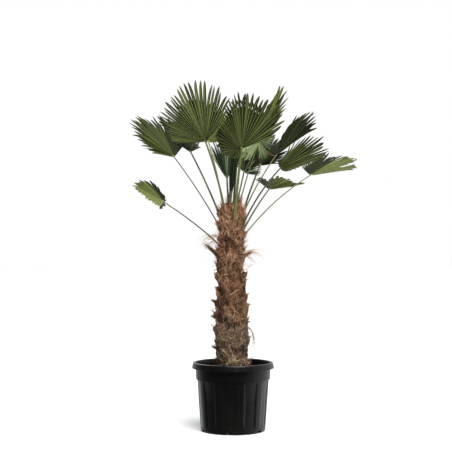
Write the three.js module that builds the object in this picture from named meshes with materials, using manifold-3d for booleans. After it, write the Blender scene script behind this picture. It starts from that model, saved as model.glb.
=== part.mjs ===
// A windmill palm, small stiff-leaved form, grown in a round black nursery pot.
//
// Part frame: millimetres, +Z up, origin at the middle of the pot's flat underside. The side with the
// big front fans faces -Y, and +X is to that side's right.
//
// The palm is a fibre-wrapped trunk standing on its root ball, with the cut-off bases of old leaves in
// the fibre, one petiole and one fan-shaped blade for each frond, and a closed young leaf, the spear,
// in the middle of the crown.

import * as THREE from "three";
import { mergeVertices } from "three/addons/utils/BufferGeometryUtils.js";
import Module from "manifold-3d";

const wasm = await Module();
wasm.setup();

const CLEARANCE = 0.3; // left between neighbouring solids that touch on the real plant

// ---------------------------------------------------------------- driving sizes

const POT = {
  height: 380,
  wall: 3,
  floor: 4,
  rimRadius: 230, // of the turned-down lip
  rimDrop: 33, // height of that lip
  collarRadius: 211, // at the top
  collarFootRadius: 207,
  collarDrop: 93, // from the top to the collar's lower edge
  wallTopRadius: 200, // just below the collar
  footRadius: 180,
  cornerRadius: 9, // bevel round the foot
  flutes: 10, // recessed panels below the collar
  fluteFoot: 60, // the panels fade out below this height
  fluteStep: 8, // height of the slope from the collar into a panel
  fluteDepth: 5,
  fluteTurn: -6, // degrees from -Y to the middle of the nearest panel, positive towards +X
  fluteSides: 4, // facets in one panel and the rib beside it
  drains: 6, // openings at the foot, the first one under that panel
  drainWidth: 34,
  drainHeight: 13,
  drainLength: 30,
};

const ROOT_BALL = {
  footRadius: 149,
  edgeHeight: 342, // where the soil meets the wall
  topHeight: 350,
  moundRadius: 128, // of the flat top round the trunk
  flare: 3, // how much the collar's inside widens up to the soil's edge
  facetSlack: 1.2, // room for the flats of the pot's facets
  sides: 24,
};

// The trunk's fibre-wrapped outline: height, mean radius, sideways wander along X
const TRUNK_RINGS = [
  { z: 350, radius: 112, wander: 0 },
  { z: 366, radius: 98, wander: -1 },
  { z: 405, radius: 88, wander: -2 },
  { z: 470, radius: 89, wander: -4 },
  { z: 530, radius: 96, wander: -6 },
  { z: 612, radius: 93, wander: -7 },
  { z: 725, radius: 86, wander: -9 },
  { z: 835, radius: 81, wander: -12 },
  { z: 925, radius: 78, wander: -15 },
  { z: 975, radius: 80, wander: -15 },
  { z: 1045, radius: 72, wander: -10 },
  { z: 1095, radius: 74, wander: -9 },
  { z: 1150, radius: 79, wander: -9 },
  { z: 1205, radius: 80, wander: -8 },
  { z: 1240, radius: 73, wander: -8 },
  { z: 1262, radius: 54, wander: -8 },
];
const TRUNK_SIDES = 16;
// Slow bulges in the trunk, winding up it: share of the radius, how many round it, mm of height per radian
const BULGES = [
  { depth: 0.035, count: 3, pitch: 55 },
  { depth: 0.02, count: 5, pitch: -38 },
];
const TRUNK_AXIS_X = -9; // the petioles and leaf bases leave from this line

// Cut-off bases of old leaves: degrees round the trunk from +X, height of the buried end, reach out of
// the trunk's middle, and rise above level.
const LEAF_BASE = { width: 34, thickness: 12, taper: 0.55 };
const LEAF_BASES = [
  { name: "high_left", around: 186, height: 907, reach: 214, rise: 42 },
  { name: "high_right", around: 352, height: 930, reach: 140, rise: 30 },
  { name: "middle_left", around: 192, height: 662, reach: 146, rise: 30 },
  { name: "middle_back", around: 84, height: 800, reach: 112, rise: 32 },
  { name: "low_left", around: 172, height: 590, reach: 136, rise: 22 },
  { name: "low_right", around: 338, height: 560, reach: 124, rise: 24 },
  { name: "foot_left", around: 196, height: 418, reach: 132, rise: 25 },
];

const PETIOLE = { halfWidth: 10.5, flatness: 0.75, taper: 0.62, start: 30, socket: 12, steps: 7 };
const BLADE = { thickness: 3, teeth: 11, notch: 0.16, rings: 2, recurve: 0.05, hubRadius: 9 };

// Every open frond. Its petiole leaves the trunk's middle at `root` (degrees round the trunk from +X,
// height), is bowed up by `bow` and ends at `hub`, where the blade begins. The blade's middle ray,
// `radius` long, points along `heading` (degrees round from +X) and `rise` (degrees above level), and
// `twist` turns the blade about that ray. The blade spreads by `spread` degrees to each side, where its
// rays are shorter by `basal`, and `fold` lifts each half towards the upper face.
const FRONDS = [
  { name: "left", root: [156, 1066], bow: 12, hub: [-330, 20, 1530],
    heading: 172, rise: 47, twist: -20, radius: 306, spread: 76, fold: 8, basal: 0.26 },
  { name: "front_left", root: [236, 1120], bow: 22, hub: [-149, -225, 1592],
    heading: 211, rise: 48, twist: 31, radius: 345, spread: 78, fold: 14, basal: 0.2 },
  { name: "front", root: [283, 1040], bow: 16, hub: [46, -272, 1546],
    heading: 236, rise: 87, twist: 0, radius: 300, spread: 98, fold: 28, basal: 0.34 },
  { name: "middle_right", root: [4, 1200], bow: 8, hub: [147, 25, 1622],
    heading: 68, rise: 64, twist: 2, radius: 345, spread: 108, fold: 41, basal: 0.56 },
  { name: "right_high", root: [30, 1100], bow: 22, hub: [247, 150, 1549],
    heading: 39, rise: 34, twist: -16, radius: 343, spread: 84, fold: 36, basal: 0.48 },
  { name: "front_right", root: [307, 1020], bow: 36, hub: [253, -250, 1444],
    heading: 332, rise: 25, twist: -62, radius: 290, spread: 86, fold: 60, basal: 0.4 },
  { name: "far_right", root: [13, 1030], bow: 31, hub: [440, 100, 1433],
    heading: 22, rise: 23, twist: 20, radius: 286, spread: 66, fold: 14, basal: 0.2 },
  { name: "right_low", root: [59, 1010], bow: 17, hub: [215, 370, 1369],
    heading: 38, rise: 14, twist: 11, radius: 233, spread: 80, fold: 16, basal: 0.28 },
  { name: "left_low", root: [198, 1000], bow: 12, hub: [-379, -120, 1270],
    heading: 194, rise: 33, twist: -30, radius: 192, spread: 108, fold: 12, basal: 0.5 },
  { name: "left_high", root: [132, 1080], bow: 14, hub: [-252, 362, 1590],
    heading: 162, rise: 52, twist: -4, radius: 290, spread: 80, fold: 10, basal: 0.4 },
  { name: "back_left", root: [131, 1100], bow: 12, hub: [-140, 150, 1625],
    heading: 120, rise: 62, twist: 0, radius: 300, spread: 90, fold: 20, basal: 0.45 },
  { name: "back", root: [88, 1100], bow: 12, hub: [30, 290, 1600],
    heading: 85, rise: 50, twist: 0, radius: 300, spread: 92, fold: 45, basal: 0.45 },
  { name: "back_right", root: [66, 1020], bow: 20, hub: [161, 380, 1510],
    heading: 78, rise: 52, twist: -12, radius: 240, spread: 100, fold: 10, basal: 0.5 },
  { name: "inner_left", root: [120, 1230], bow: 0, hub: [-34, 10, 1410],
    heading: 100, rise: 78, twist: 0, radius: 235, spread: 50, fold: 45, basal: 0.2 },
  { name: "inner_right", root: [46, 1220], bow: 0, hub: [62, 70, 1448],
    heading: 70, rise: 49, twist: 50, radius: 130, spread: 90, fold: 39, basal: 0.28 },
];

const SPEAR = { base: [-24, -35, 1210], tip: [14, -75, 1580], baseRadius: 15, tipRadius: 6, sides: 6 };

// ---------------------------------------------------------------- materials

const paint = (color, roughness) => new THREE.MeshStandardMaterial({ color, roughness, metalness: 0 });
const PLASTIC = paint(0x1b1c1e, 0.4);
const SOIL = paint(0x3b2a1d, 1.0);
const FIBRE = paint(0x6e4b34, 0.95);
const STALK = paint(0x66753a, 0.55);
const LEAF = paint(0x3a5426, 0.5);

// ---------------------------------------------------------------- geometry helpers

const radians = THREE.MathUtils.degToRad;
const { lerp, mapLinear } = THREE.MathUtils;

// Moves every vertex of a geometry: `move` is given its place and returns the new one.
function reshape(geometry, move) {
  const position = geometry.getAttribute("position");
  for (let i = 0; i < position.count; i++) {
    const { x, y, z } = move(new THREE.Vector3().fromBufferAttribute(position, i));
    position.setXYZ(i, x, y, z);
  }
  return geometry;
}

// A profile of [radius, height] points turned about +Z, with its first seam at -Y.
function turned(profile, sides) {
  const points = profile.map(([radius, height]) => new THREE.Vector2(radius, height));
  return new THREE.LatheGeometry(points, sides).rotateX(Math.PI / 2);
}

// A unit vector `around` degrees round from +X and `rise` degrees above level.
function direction(around, rise = 0) {
  const [a, e] = [radians(around), radians(rise)];
  return new THREE.Vector3(Math.cos(e) * Math.cos(a), Math.cos(e) * Math.sin(a), Math.sin(e));
}

function toSolid(geometry) {
  const bare = new THREE.BufferGeometry();
  bare.setAttribute("position", geometry.getAttribute("position"));
  bare.setIndex(geometry.index);
  const merged = mergeVertices(bare, 1e-3);
  const vertProperties = merged.attributes.position.array;
  const triVerts = new Uint32Array(merged.index.array);
  return new wasm.Manifold(new wasm.Mesh({ numProp: 3, vertProperties, triVerts }));
}

// The largest body of a solid, as a three.js geometry: a cut can leave specks beside it.
function toGeometry(solid) {
  const whole = solid.decompose().sort((a, b) => b.volume() - a.volume())[0];
  const { vertProperties, triVerts } = whole.getMesh();
  return new THREE.BufferGeometry()
    .setAttribute("position", new THREE.BufferAttribute(vertProperties, 3))
    .setIndex(new THREE.BufferAttribute(triVerts, 1));
}

function mesh(name, geometry, material) {
  const made = new THREE.Mesh(geometry, material);
  made.name = name;
  return made;
}

// ---------------------------------------------------------------- pot and root ball

// Radius of the pot's plain outer wall, below the collar.
function wallRadius(z) {
  return mapLinear(z, 0, POT.height - POT.collarDrop, POT.footRadius, POT.wallTopRadius);
}

// A moulded pot: thin wall, turned-down lip, recessed panels between ribs, drain openings at the foot.
function potGeometry() {
  const { height, wall, floor, rimRadius, collarRadius, collarFootRadius, cornerRadius } = POT;
  const lipFoot = height - POT.rimDrop;
  const collarFoot = height - POT.collarDrop;
  const panelTop = collarFoot - POT.fluteStep;
  const sheet = turned(
    [
      [0, 0],
      [POT.footRadius - cornerRadius, 0],
      [wallRadius(cornerRadius), cornerRadius],
      [wallRadius(POT.fluteFoot), POT.fluteFoot],
      [wallRadius(panelTop), panelTop],
      [collarFootRadius, collarFoot],
      [collarRadius + wall, height - wall],
      [rimRadius - 2 * wall, height - wall],
      [rimRadius - 2 * wall, lipFoot],
      [rimRadius - wall, lipFoot],
      [rimRadius, height - wall],
      [rimRadius - wall, height],
      [collarRadius + wall, height],
      [collarRadius, height - wall],
      [collarFootRadius - wall, collarFoot],
      [wallRadius(panelTop) - wall, panelTop],
      [wallRadius(POT.fluteFoot) - wall, POT.fluteFoot],
      [wallRadius(cornerRadius) - wall, cornerRadius],
      [POT.footRadius - cornerRadius, floor],
      [0, floor],
    ],
    POT.flutes * POT.fluteSides,
  );
  const facet = (2 * Math.PI) / (POT.flutes * POT.fluteSides);
  const fluted = reshape(sheet, (p) => {
    const inBand = p.z > (cornerRadius + POT.fluteFoot) / 2 && p.z < (panelTop + collarFoot) / 2;
    const step = Math.round(Math.atan2(p.x, -p.y) / facet) + POT.flutes * POT.fluteSides;
    const inPanel = step % POT.fluteSides < POT.fluteSides / 2;
    const radius = Math.hypot(p.x, p.y);
    const scale = inBand && inPanel ? 1 - POT.fluteDepth / radius : 1;
    return new THREE.Vector3(p.x * scale, p.y * scale, p.z);
  });
  let pot = toSolid(fluted);
  for (let i = 0; i < POT.drains; i++) {
    const drain = new THREE.BoxGeometry(POT.drainWidth, POT.drainLength, 2 * POT.drainHeight);
    drain.translate(0, -POT.footRadius + cornerRadius / 2, 0);
    drain.rotateZ(facet / 2 + (2 * Math.PI * i) / POT.drains);
    pot = pot.subtract(toSolid(drain));
  }
  return toGeometry(pot).rotateZ(radians(POT.fluteTurn) - facet / 2);
}

// Potting mix and roots, filling the pot to a low mound round the trunk.
function rootBallGeometry() {
  const { footRadius, edgeHeight, topHeight, moundRadius, flare, facetSlack, sides } = ROOT_BALL;
  const collarFoot = POT.height - POT.collarDrop;
  const panelTop = collarFoot - POT.fluteStep;
  const inset = POT.wall + POT.fluteDepth + facetSlack;
  const floor = POT.floor + CLEARANCE;
  const collarInside = POT.collarFootRadius - POT.wall - facetSlack;
  return turned(
    [
      [0, floor],
      [footRadius, floor],
      [wallRadius(POT.fluteFoot) - inset, POT.fluteFoot],
      [wallRadius(panelTop) - inset, panelTop],
      [collarInside, collarFoot],
      [collarInside + flare, edgeHeight],
      [moundRadius, topHeight],
      [0, topHeight],
    ],
    sides,
  );
}

// ---------------------------------------------------------------- trunk

// The trunk's radius and sideways wander at a height, between the rings above and below it.
function trunkAt(z) {
  const above = TRUNK_RINGS.findIndex((ring) => ring.z >= z);
  if (above === 0) return TRUNK_RINGS[0];
  if (above < 0) return TRUNK_RINGS.at(-1);
  const [low, high] = [TRUNK_RINGS[above - 1], TRUNK_RINGS[above]];
  const share = (z - low.z) / (high.z - low.z);
  return { radius: lerp(low.radius, high.radius, share), wander: lerp(low.wander, high.wander, share) };
}

// The trunk's outline, `extra` mm fatter all round, with the slow bulges of its old leaf bases.
function trunkGeometry(extra = 0) {
  const profile = TRUNK_RINGS.map(({ z, radius }) => [radius, z]);
  profile[0][1] += CLEARANCE - extra;
  profile.at(-1)[1] += extra;
  const plain = turned([[0, profile[0][1]], ...profile, [0, profile.at(-1)[1]]], TRUNK_SIDES);
  return reshape(plain, (p) => {
    const angle = Math.atan2(p.y, p.x);
    const wave = BULGES.reduce((sum, b) => sum + b.depth * Math.sin(b.count * angle + p.z / b.pitch), 0);
    const radius = Math.hypot(p.x, p.y);
    const grown = radius > 1 ? radius * (1 + wave) + extra : radius;
    return new THREE.Vector3(trunkAt(p.z).wander + grown * Math.cos(angle), grown * Math.sin(angle), p.z);
  });
}

const fattened = toSolid(trunkGeometry(CLEARANCE));

// A flat stub, widest where it leaves the fibre, poking out of the trunk.
function leafBaseMesh({ name, around, height, reach, rise }) {
  const stub = new THREE.BoxGeometry(reach, LEAF_BASE.width, LEAF_BASE.thickness).translate(reach / 2, 0, 0);
  reshape(stub, (p) => p.setY(p.y * lerp(1, LEAF_BASE.taper, p.x / reach)));
  stub.rotateY(-radians(rise)).rotateZ(radians(around)).translate(TRUNK_AXIS_X, 0, height);
  return mesh(`leaf_base_${name}`, toGeometry(toSolid(stub).subtract(fattened)), FIBRE);
}

// ---------------------------------------------------------------- fronds

// Turns a blade's own frame (X along its middle ray, Z out of its upper face) into the part's frame.
function bladeMatrix({ hub, heading, rise, twist }) {
  const axis = direction(heading, rise);
  const up = direction(heading, rise + 90).applyAxisAngle(axis, radians(twist));
  const side = new THREE.Vector3().crossVectors(up, axis);
  return new THREE.Matrix4().makeBasis(axis, side, up).setPosition(...hub);
}

// One blade in its own frame: a thin sheet bent round into a fan, creased along X, with a toothed edge.
// The sheet's X runs from hub to tips, its Y from one side of the fan to the other.
function bladeGeometry({ radius, spread, fold, basal }) {
  const { thickness, teeth, notch, rings, recurve, hubRadius } = BLADE;
  const sheet = new THREE.BoxGeometry(1, 2, thickness, rings, 2 * teeth, 1).translate(0.5, 0, 0);
  return reshape(sheet, ({ x: share, y: side, z }) => {
    const angle = side * radians(spread);
    const ray = Math.round((side + 1) * teeth);
    const betweenTips = share > 0.99 && ray % 2 === 1;
    const outer = radius * (1 - basal * side * side) * (betweenTips ? 1 - notch : 1);
    const r = lerp(hubRadius, outer, share);
    const across = r * Math.sin(angle);
    const lift = Math.abs(across) * Math.sin(radians(fold)) - (recurve * r * r) / radius;
    return new THREE.Vector3(r * Math.cos(angle), across * Math.cos(radians(fold)), z + lift);
  });
}

// A petiole's centre line: out of the trunk's middle, bowed upwards, and `past` mm on into its blade.
function petioleCurve({ root: [around, height], bow, hub }, past) {
  const base = new THREE.Vector3(TRUNK_AXIS_X, 0, height).addScaledVector(direction(around), PETIOLE.start);
  const end = new THREE.Vector3(...hub);
  const along = end.clone().sub(base).normalize();
  const lift = new THREE.Vector3(0, 0, 1).addScaledVector(along, -along.z).normalize();
  const middle = base.clone().lerp(end, 0.5).addScaledVector(lift, 2 * bow);
  const ahead = end.clone().sub(middle).normalize();
  return new THREE.QuadraticBezierCurve3(base, middle, end.addScaledVector(ahead, past));
}

// A petiole, `extra` mm fatter all round: an ellipse swept along its curve, narrowing towards the blade.
function petioleGeometry(frond, extra = 0) {
  const { halfWidth, flatness, taper, socket, steps } = PETIOLE;
  const curve = petioleCurve(frond, socket + extra);
  const section = new THREE.Shape();
  section.absellipse(0, 0, halfWidth + extra / taper, halfWidth * flatness + extra / taper, 0, 2 * Math.PI);
  const swept = new THREE.ExtrudeGeometry(section, {
    steps,
    curveSegments: 3,
    bevelEnabled: false,
    extrudePath: curve,
  });
  const centres = curve.getSpacedPoints(steps);
  return reshape(swept, (p) => {
    const gaps = centres.map((centre) => centre.distanceTo(p));
    const k = gaps.indexOf(Math.min(...gaps));
    return p.sub(centres[k]).multiplyScalar(lerp(1, taper, k / steps)).add(centres[k]);
  });
}

function frondMeshes(frond) {
  const petiole = toSolid(petioleGeometry(frond)).subtract(fattened);
  const socket = toSolid(petioleGeometry(frond, CLEARANCE));
  const blade = toSolid(bladeGeometry(frond).applyMatrix4(bladeMatrix(frond))).subtract(socket);
  return [
    mesh(`petiole_${frond.name}`, toGeometry(petiole), STALK),
    mesh(`fan_${frond.name}`, toGeometry(blade), LEAF),
  ];
}

// The closed young leaf: a slim cone standing in the top of the trunk.
function spearMesh() {
  const [base, tip] = [new THREE.Vector3(...SPEAR.base), new THREE.Vector3(...SPEAR.tip)];
  const along = tip.clone().sub(base);
  const cone = new THREE.CylinderGeometry(SPEAR.tipRadius, SPEAR.baseRadius, along.length(), SPEAR.sides);
  const stand = new THREE.Vector3(0, 1, 0);
  cone.applyQuaternion(new THREE.Quaternion().setFromUnitVectors(stand, along.normalize()));
  cone.translate(...base.lerp(tip, 0.5));
  return mesh("spear", toGeometry(toSolid(cone).subtract(fattened)), LEAF);
}

// ---------------------------------------------------------------- the palm

const palm = new THREE.Group();
palm.add(mesh("pot", potGeometry(), PLASTIC));
palm.add(mesh("root_ball", rootBallGeometry(), SOIL));
palm.add(mesh("trunk", trunkGeometry(), FIBRE));
for (const base of LEAF_BASES) palm.add(leafBaseMesh(base));
for (const frond of FRONDS) palm.add(...frondMeshes(frond));
palm.add(spearMesh());

export default palm;
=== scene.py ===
"""The looks of a potted windmill palm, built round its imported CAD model.

Metres, +Z up, the pot's flat underside at z = 0 and its middle at x = y = 0. The front faces -Y.
Every piece stands where its CAD nodes stand, so the sizes of part.mjs are repeated here in millimetres
and multiplied by MM. Only the outlines of some leaves are closer to the photo than the CAD's are.
"""

import math
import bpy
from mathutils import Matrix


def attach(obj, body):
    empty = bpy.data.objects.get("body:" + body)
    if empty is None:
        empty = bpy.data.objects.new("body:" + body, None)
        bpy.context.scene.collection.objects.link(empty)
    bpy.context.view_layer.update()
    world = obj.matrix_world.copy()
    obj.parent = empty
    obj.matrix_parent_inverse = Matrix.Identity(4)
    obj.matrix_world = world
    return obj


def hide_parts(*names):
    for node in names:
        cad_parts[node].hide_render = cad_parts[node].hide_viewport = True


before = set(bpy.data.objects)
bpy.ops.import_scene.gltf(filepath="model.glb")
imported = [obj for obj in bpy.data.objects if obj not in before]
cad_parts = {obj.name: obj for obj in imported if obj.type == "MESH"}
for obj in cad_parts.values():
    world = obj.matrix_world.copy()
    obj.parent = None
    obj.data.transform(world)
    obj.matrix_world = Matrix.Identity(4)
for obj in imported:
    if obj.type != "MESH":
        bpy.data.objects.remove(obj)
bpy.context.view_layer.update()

from types import SimpleNamespace

import bpy
import numpy as np
from mathutils import Vector

MM = 0.001
rng = np.random.default_rng(20)

# ---- sizes shared with the CAD model

POT_HEIGHT = 380
LIP_RADIUS = 230
LIP_DROP = 33
COLLAR_RADIUS = 211
COLLAR_FOOT_RADIUS = 207
COLLAR_DROP = 93
WALL_TOP_RADIUS = 200
FOOT_RADIUS = 180
FOOT_CORNER = 9
POT_WALL = 3
POT_FLOOR = 4
FLUTES = 10
FLUTE_DEPTH = 5
FLUTE_TURN = -6  # degrees from -Y to the middle of the nearest panel
DRAINS = 6
DRAIN_WIDTH = 34
DRAIN_HEIGHT = 13

SOIL_EDGE = 342
SOIL_TOP = 350

# Height, mean radius and sideways wander of the trunk's outline
TRUNK_RINGS = np.array([
    (350, 112, 0), (366, 98, -1), (405, 88, -2), (470, 89, -4), (530, 96, -6), (612, 93, -7),
    (725, 86, -9), (835, 81, -12), (925, 78, -15), (975, 80, -15), (1045, 72, -10), (1095, 74, -9),
    (1150, 79, -9), (1205, 80, -8), (1240, 73, -8), (1262, 54, -8),
])
TRUNK_AXIS_X = -9

# Cut-off bases of old leaves: node, degrees round the trunk, height at the axis, reach, rise
LEAF_BASES = [
    ("high_left", 186, 907, 214, 42),
    ("high_right", 352, 930, 140, 30),
    ("middle_left", 192, 662, 146, 30),
    ("middle_back", 84, 800, 112, 32),
    ("low_left", 172, 590, 136, 22),
    ("low_right", 338, 560, 124, 24),
    ("foot_left", 196, 418, 132, 25),
]

SPEAR_BASE = (-24, -35, 1210)
SPEAR_TIP = (14, -75, 1580)

RECURVE = 0.05
PETIOLE_START = 30
PETIOLE_SOCKET = 12


def frond(name, root, bow, hub, heading, rise, twist, radius, spread, fold, basal, tone, **looks):
    """One frond: its place and shape in the CAD model's terms, then the tone of its leaf, which is painted
    light or shade, and its own looks.

    Angles are in degrees across the blade from its middle. `span` is how far round the segments go, and
    `reach` gives their lengths as shares of the radius, both where the CAD's simpler outline falls short.
    Segments outside `pale` are glaucous, those outside `whole` hardly split and are striped with painted
    light and shade, and those in one of the ranges in `dim` are painted dark as shade. `streaks` is the
    share of the others that are glaucous, and `pleat` how deep they fold.
    """
    given = dict(name=name, root=root, bow=bow, hub=hub, heading=heading, rise=rise, twist=twist,
                 radius=radius, spread=spread, fold=fold, basal=basal, tone=tone)
    plain = dict(segments=40, stalk=1.0, stalk_tone="shade", hastula="pale", dead=0, droop=0.02, crease=24,
                 joined=(0.56, 0.74), span=(-spread, spread), reach=(), pale=(-180, 180),
                 whole=(-180, 180), dim=(), streaks=0.0, pleat=1.0)
    return SimpleNamespace(**{**plain, **given, **looks})


# Each frond's place and shape are the CAD's, but for the radius of front_right and of right_low
# Each frond's leaf tone is painted light or shade: "lit" and "olive" for lit fronds, "mid" for middling
# ones, "deep", "dark" and "blue" for shaded ones
FRONDS = [
    frond("left", (156, 1066), 12, (-330, 20, 1530), 172, 47, -20, 306, 76, 8, 0.26, "mid", segments=34,
          joined=(0.58, 0.76), pleat=0.9, dim=((-80, -30),),
          reach=((-76, 0.8), (-40, 1.02), (-16, 1.08), (0, 1.06), (16, 1.0), (40, 0.93), (76, 0.74))),
    frond("front_left", (236, 1120), 22, (-149, -225, 1592), 211, 48, 31, 345, 78, 14, 0.2, "mid",
          stalk_tone="lit", crease=60, segments=34, droop=0.0, span=(-72, 78), whole=(-50, 180), pleat=0.6,
          reach=((-72, 0.5), (-62, 0.64), (-50, 0.7), (-38, 0.73), (-28, 0.8), (-14, 0.86), (0, 0.88),
                 (20, 1.02), (40, 1.0), (63, 0.88), (70, 0.55), (78, 0.3))),
    frond("front", (283, 1040), 16, (46, -272, 1546), 236, 87, 0, 300, 98, 28, 0.34, "deep", segments=44,
          stalk=1.2, stalk_tone="bright", hastula="orange", crease=50, span=(-165, 73), whole=(-58, 180),
          pleat=0.7,
          reach=((-165, 0.13), (-140, 0.18), (-120, 0.28), (-105, 0.4), (-92, 0.6), (-80, 0.76),
                 (-66, 0.86), (-50, 0.8), (-40, 0.78), (-22, 0.92), (0, 1.0), (56, 1.0), (66, 0.86),
                 (73, 0.6))),
    frond("middle_right", (4, 1200), 8, (147, 25, 1622), 68, 64, 2, 345, 108, 41, 0.56, "olive",
          stalk_tone="lit", segments=66, span=(-178, 178), pale=(-72, 88), dim=((6, 80),),
          reach=((-178, 0.1), (-172, 0.12), (-164, 0.4), (-130, 0.46), (-100, 0.42), (-72, 0.38),
                 (-58, 0.6), (-40, 0.86), (-26, 1.02), (-14, 1.0), (-4, 0.72), (20, 0.78), (45, 0.86),
                 (80, 0.6), (108, 0.5), (140, 0.47), (164, 0.42), (172, 0.12), (178, 0.1))),
    frond("right_high", (30, 1100), 22, (247, 150, 1549), 39, 34, -16, 343, 84, 36, 0.48, "dark",
          dead=3, stalk_tone="lit", segments=34, dim=((30, 90),),
          reach=((-84, 0.52), (-60, 0.8), (-36, 0.95), (0, 1.0), (20, 0.98), (28, 0.9), (34, 0.62),
                 (44, 0.55), (60, 0.62), (84, 0.5))),
    frond("front_right", (307, 1020), 36, (253, -250, 1444), 332, 25, -62, 275, 86, 60, 0.4, "deep", dead=1,
          segments=32, pleat=0.6, dim=((-90, -56),), whole=(-180, 22),
          reach=((-86, 0.2), (-52, 0.3), (-44, 0.6), (-30, 0.78), (-20, 0.94), (-8, 1.06), (4, 1.06),
                 (20, 1.0), (34, 0.95), (42, 0.6), (60, 0.3), (86, 0.14))),
    frond("far_right", (13, 1030), 31, (440, 100, 1433), 22, 23, 20, 286, 66, 14, 0.2, "mid",
          segments=28, stalk_tone="lit", span=(-58, 84), whole=(10, 180), dim=((14, 90),), pleat=0.7,
          reach=((-58, 0.96), (-46, 0.98), (-36, 0.94), (-30, 0.66), (-22, 0.7), (-14, 0.98), (2, 1.08),
                 (10, 1.04), (24, 0.84), (38, 1.0), (50, 0.62), (60, 0.55), (84, 0.38))),
    frond("right_low", (59, 1010), 17, (215, 370, 1369), 38, 14, 11, 250, 80, 16, 0.28, "lit", segments=26,
          joined=(0.74, 0.88),
          reach=((-80, 0.72), (-56, 0.75), (-32, 0.84), (-8, 0.88), (4, 0.95), (16, 0.97), (28, 0.96),
                 (40, 0.88), (50, 0.6), (56, 0.6), (62, 0.8), (80, 0.7))),
    frond("left_low", (198, 1000), 12, (-379, -120, 1270), 194, 33, -30, 192, 108, 12, 0.5, "lit",
          segments=32, whole=(-180, 4), dim=((-110, -40), (84, 110)),
          reach=((-108, 0.14), (-92, 0.2), (-84, 0.36), (-72, 0.42), (-60, 0.6), (-48, 0.86), (-30, 0.96),
                 (0, 1.0), (30, 0.96), (60, 0.84), (78, 0.72), (86, 0.9), (92, 0.3), (108, 0.3))),
    frond("left_high", (132, 1080), 14, (-252, 362, 1590), 162, 52, -4, 290, 80, 10, 0.4, "dark"),
    frond("back_left", (131, 1100), 12, (-140, 150, 1625), 120, 62, 0, 300, 90, 20, 0.45, "mid",
          stalk_tone="lit"),
    frond("back", (88, 1100), 12, (30, 290, 1600), 85, 50, 0, 300, 92, 45, 0.45, "mid"),
    frond("back_right", (66, 1020), 20, (161, 380, 1510), 78, 52, -12, 240, 100, 10, 0.5, "dark"),
    frond("inner_left", (120, 1230), 0, (-34, 10, 1410), 100, 78, 0, 235, 50, 45, 0.2, "blue",
          segments=30, joined=(0.45, 0.65), crease=16, stalk_tone="lit", streaks=0.2),
    frond("inner_right", (46, 1220), 0, (62, 70, 1448), 70, 49, 50, 130, 90, 39, 0.28, "blue",
          segments=28, joined=(0.45, 0.65), stalk_tone="lit", streaks=0.35),
]

# ---- materials


def srgb(red, green, blue):
    """An opaque linear colour from display values of 0 to 255."""
    def linear(v):
        v = v / 255
        return v / 12.92 if v <= 0.04045 else ((v + 0.055) / 1.055) ** 2.4
    return (*map(linear, (red, green, blue)), 1)


def feed(tree, node, inputs):
    """Gives each of a node's inputs its value, or links it where that is another node's output."""
    for name, given in inputs.items():
        if isinstance(given, bpy.types.NodeSocket):
            tree.links.new(given, node.inputs[name])
        else:
            node.inputs[name].default_value = given
    return node


def add(tree, kind, inputs=(), **options):
    """A new node of a tree, with its options set and its inputs fed."""
    node = tree.nodes.new(f"ShaderNode{kind}")
    for name, value in options.items():
        setattr(node, name, value)
    return feed(tree, node, dict(inputs))


def principled(name, colour, roughness, specular):
    """A material with one Principled shader, and its tree and that shader for adding detail."""
    made = bpy.data.materials.new(name)
    made.use_nodes = True
    tree = made.node_tree
    given = {"Base Color": colour, "Roughness": roughness, "Specular IOR Level": specular}
    return made, tree, feed(tree, tree.nodes["Principled BSDF"], given)


def noise(tree, place, scale, detail=4):
    """Noise over stretched coordinates: `scale` is (x, y, z) repeats per unit."""
    stretched = add(tree, "Mapping", {"Vector": place, "Scale": scale}).outputs["Vector"]
    return add(tree, "TexNoise", {"Vector": stretched, "Scale": 1, "Detail": detail}).outputs["Fac"]


def rescaled(tree, value, low, high, first=0.25, last=0.75, **options):
    """A value's range from first to last, by default noise's middle range, as one from low to high."""
    given = {"Value": value, "From Min": first, "From Max": last, "To Min": low, "To Max": high}
    return add(tree, "MapRange", given, **options).outputs["Result"]


def bump(tree, shader, height, distance, strength=1.0):
    """Bumps up to `distance` metres high."""
    given = {"Height": height, "Distance": distance, "Strength": strength}
    feed(tree, shader, {"Normal": add(tree, "Bump", given).outputs["Normal"]})


def object_place(tree):
    return add(tree, "TexCoord").outputs["Object"]


def leafy(name, colour, roughness=0.55, specular=0.1, veins=(26, 5, 1)):
    """A plain-coloured leaf or stalk surface with fine veins along it and uneven gloss."""
    made, tree, shader = principled(name, srgb(*colour), roughness, specular)
    gloss = noise(tree, object_place(tree), (60, 60, 60))
    feed(tree, shader, {"Roughness": rescaled(tree, gloss, roughness - 0.1, roughness + 0.14)})
    grain = add(tree, "UVMap", uv_map="grain").outputs["UV"]  # across a leaf or stalk, and along it
    bump(tree, shader, noise(tree, grain, veins), 0.35 * MM, 0.7)
    return made


def fibrous(name, colour):
    """A plain-coloured dry fibre with a matt, uneven surface."""
    made, tree, shader = principled(name, srgb(*colour), 0.85, 0.15)
    rough = noise(tree, object_place(tree), (300, 300, 90))
    feed(tree, shader, {"Roughness": rescaled(tree, rough, 0.7, 1.0)})
    bump(tree, shader, rough, 0.4 * MM, 0.6)
    return made


def mottled(name, dark, light, scale, roughness, depth):
    """A surface mottled between two colours by noise, with bumps of the same noise."""
    made, tree, shader = principled(name, srgb(*dark), roughness, 0.15)
    value = noise(tree, object_place(tree), scale, 8)
    ramp = add(tree, "ValToRGB", {"Fac": value})
    for element, position, colour in zip(ramp.color_ramp.elements, (0.35, 0.7), (dark, light)):
        element.position = position
        element.color = srgb(*colour)
    feed(tree, shader, {"Base Color": ramp.outputs["Color"]})
    bump(tree, shader, value, depth)
    return made


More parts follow.
